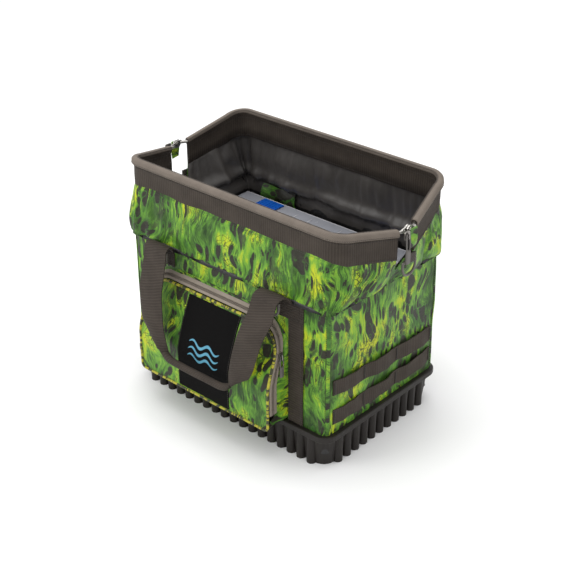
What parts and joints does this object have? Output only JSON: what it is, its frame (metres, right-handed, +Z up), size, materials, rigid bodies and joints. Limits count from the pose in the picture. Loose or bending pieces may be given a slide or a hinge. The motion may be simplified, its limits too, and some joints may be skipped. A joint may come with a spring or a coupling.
{
  "type": "fishing tackle bag",
  "caption": "Soft-sided fishing tackle bag with a moulded base, wire-framed wide mouth, front pocket, carry handles and a utility tray.",
  "frame": {"origin": "middle of the base's underside, on the ground", "axes": "+X along the front to the right as seen from the front, +Y towards the back, +Z up"},
  "size_m": [0.4918, 0.3944, 0.3995],
  "materials": {
    "base_rubber": "satin moulded",
    "camo_fabric": "coated woven, slightly glossy",
    "lining_black": "coated, shiny",
    "lining_grey": "coated, soft sheen",
    "webbing": "ribbed woven",
    "zip_tape": "woven",
    "piping": "smooth cord edge",
    "panel_black": "matt",
    "emblem_blue": "printed",
    "steel": "bright",
    "zip_metal": "nickel",
    "pull_grip": "moulded",
    "ring_plastic": "moulded",
    "clear_plastic": "clear",
    "latch_blue": "ribbed"
  },
  "bodies": {
    "bag": {"base_tub": "base_rubber", "floor_board": "lining_black", "front_wall": "camo_fabric", "back_wall": "camo_fabric", "left_wall": "camo_fabric", "right_wall": "camo_fabric", "lower_lining": "lining_black", "inner_tab": "camo_fabric", "front_skirt": "camo_fabric", "back_skirt": "camo_fabric", "front_left_skirt": "camo_fabric", "front_right_skirt": "camo_fabric", "back_left_skirt": "camo_fabric", "back_right_skirt": "camo_fabric", "upper_lining": "lining_grey", "pocket_gusset": "camo_fabric", "pocket_zip_outer": "zip_tape", "front_straps": "webbing", "back_straps": "webbing", "end_webbing_left": "webbing", "end_webbing_right": "webbing", "end_ring_tabs": "webbing"},
    "front_frame": {"front_wire": "steel", "hinge_pins": "steel", "front_band": "webbing", "front_zip": "zip_tape", "main_sliders": "zip_metal", "pin_covers": "camo_fabric"},
    "back_frame": {"back_wire": "steel", "back_band": "webbing", "back_zip": "zip_tape"},
    "main_pull_left": {"main_pull_left": "pull_grip"},
    "main_pull_right": {"main_pull_right": "pull_grip"},
    "pocket_front": {"pocket_flap": "camo_fabric", "pocket_piping": "piping", "pocket_panel": "panel_black", "pocket_emblem": "emblem_blue", "pocket_zip_inner": "zip_tape"},
    "pocket_slider_left": {"pocket_slider_left": "zip_metal"},
    "pocket_slider_right": {"pocket_slider_right": "zip_metal"},
    "pocket_pull_left": {"pocket_pull_left": "pull_grip"},
    "pocket_pull_right": {"pocket_pull_right": "pull_grip"},
    "front_handle": {"front_handle": "webbing", "front_grip": "webbing", "front_ring_tabs": "webbing"},
    "front_ring_left": {"front_ring_left": "ring_plastic"},
    "front_ring_right": {"front_ring_right": "ring_plastic"},
    "back_handle": {"back_handle": "webbing", "back_grip": "webbing", "back_ring_tabs": "webbing"},
    "back_ring_left": {"back_ring_left": "ring_plastic"},
    "back_ring_right": {"back_ring_right": "ring_plastic"},
    "end_ring_left": {"end_ring_left": "ring_plastic"},
    "end_ring_right": {"end_ring_right": "ring_plastic"},
    "tray": {"tray_body": "clear_plastic", "tray_dividers": "clear_plastic"},
    "tray_lid": {"tray_lid": "clear_plastic"},
    "tray_latch_left": {"tray_latch_left": "latch_blue"},
    "tray_latch_right": {"tray_latch_right": "latch_blue"}
  },
  "joints": [
    {"name": "front_rim_swing", "type": "hinge", "parent": "bag", "child": "front_frame", "pos_m": [0, 0, 0.362], "axis": [-1, 0, 0], "range_deg": [0, 78]},
    {"name": "back_rim_swing", "type": "hinge", "parent": "bag", "child": "back_frame", "pos_m": [0, 0, 0.362], "axis": [1, 0, 0], "range_deg": [0, 72.5]},
    {"name": "main_pull_left_swing", "type": "hinge", "parent": "front_frame", "child": "main_pull_left", "pos_m": [-0.2427, -0.0125, 0.3602], "axis": [0, 1, 0], "range_deg": [0, 70]},
    {"name": "main_pull_right_swing", "type": "hinge", "parent": "front_frame", "child": "main_pull_right", "pos_m": [0.2427, -0.0125, 0.3602], "axis": [0, -1, 0], "range_deg": [0, 70]},
    {"name": "pocket_slider_left_run", "type": "slide", "parent": "bag", "child": "pocket_slider_left", "axis": [0, -0.2715, -0.9624], "range_m": [0, 0.056]},
    {"name": "pocket_pull_left_swing", "type": "hinge", "parent": "pocket_slider_left", "child": "pocket_pull_left", "pos_m": [-0.1528, -0.14982, 0.1774], "axis": [0, 1, 0], "range_deg": [0, 60]},
    {"name": "pocket_slider_right_run", "type": "slide", "parent": "bag", "child": "pocket_slider_right", "axis": [0, -0.2715, -0.9624], "range_m": [0, 0.056]},
    {"name": "pocket_pull_right_swing", "type": "hinge", "parent": "pocket_slider_right", "child": "pocket_pull_right", "pos_m": [0.1288, -0.14982, 0.1774], "axis": [0, -1, 0], "range_deg": [0, 60]},
    {"name": "pocket_front_open", "type": "hinge", "parent": "bag", "child": "pocket_front", "pos_m": [0, -0.175, 0.056], "axis": [1, 0, 0], "range_deg": [0, 8]},
    {"name": "front_handle_lift", "type": "hinge", "parent": "bag", "child": "front_handle", "pos_m": [0, -0.15, 0.262], "axis": [-1, 0, 0], "range_deg": [0, 155]},
    {"name": "front_ring_left_swing", "type": "hinge", "parent": "front_handle", "child": "front_ring_left", "pos_m": [-0.121, -0.15, 0.262], "axis": [-1, 0, 0], "range_deg": [-18, 18]},
    {"name": "front_ring_right_swing", "type": "hinge", "parent": "front_handle", "child": "front_ring_right", "pos_m": [0.109, -0.15, 0.262], "axis": [-1, 0, 0], "range_deg": [-18, 18]},
    {"name": "back_handle_lift", "type": "hinge", "parent": "bag", "child": "back_handle", "pos_m": [0, 0.15, 0.262], "axis": [1, 0, 0], "range_deg": [0, 155]},
    {"name": "back_ring_left_swing", "type": "hinge", "parent": "back_handle", "child": "back_ring_left", "pos_m": [-0.121, 0.15, 0.262], "axis": [1, 0, 0], "range_deg": [-18, 18]},
    {"name": "back_ring_right_swing", "type": "hinge", "parent": "back_handle", "child": "back_ring_right", "pos_m": [0.109, 0.15, 0.262], "axis": [1, 0, 0], "range_deg": [-18, 18]},
    {"name": "end_ring_left_swing", "type": "hinge", "parent": "bag", "child": "end_ring_left", "pos_m": [-0.226, 0.016, 0.302], "axis": [0, 1, 0], "range_deg": [-15, 70]},
    {"name": "end_ring_right_swing", "type": "hinge", "parent": "bag", "child": "end_ring_right", "pos_m": [0.226, 0.016, 0.302], "axis": [0, -1, 0], "range_deg": [-15, 70]},
    {"name": "tray_lift", "type": "slide", "parent": "bag", "child": "tray", "axis": [0, 0, 1], "range_m": [0, 0.3]},
    {"name": "tray_lid_open", "type": "hinge", "parent": "tray", "child": "tray_lid", "pos_m": [0, 0.064, 0.0264], "axis": [1, 0, 0], "range_deg": [0, 50]},
    {"name": "tray_latch_left_open", "type": "hinge", "parent": "tray_lid", "child": "tray_latch_left", "pos_m": [-0.1155, 0.066, 0.2584], "axis": [1, 0, 0], "range_deg": [0, 60]},
    {"name": "tray_latch_right_open", "type": "hinge", "parent": "tray_lid", "child": "tray_latch_right", "pos_m": [0.0945, 0.066, 0.2584], "axis": [1, 0, 0], "range_deg": [0, 60]}
  ]
}
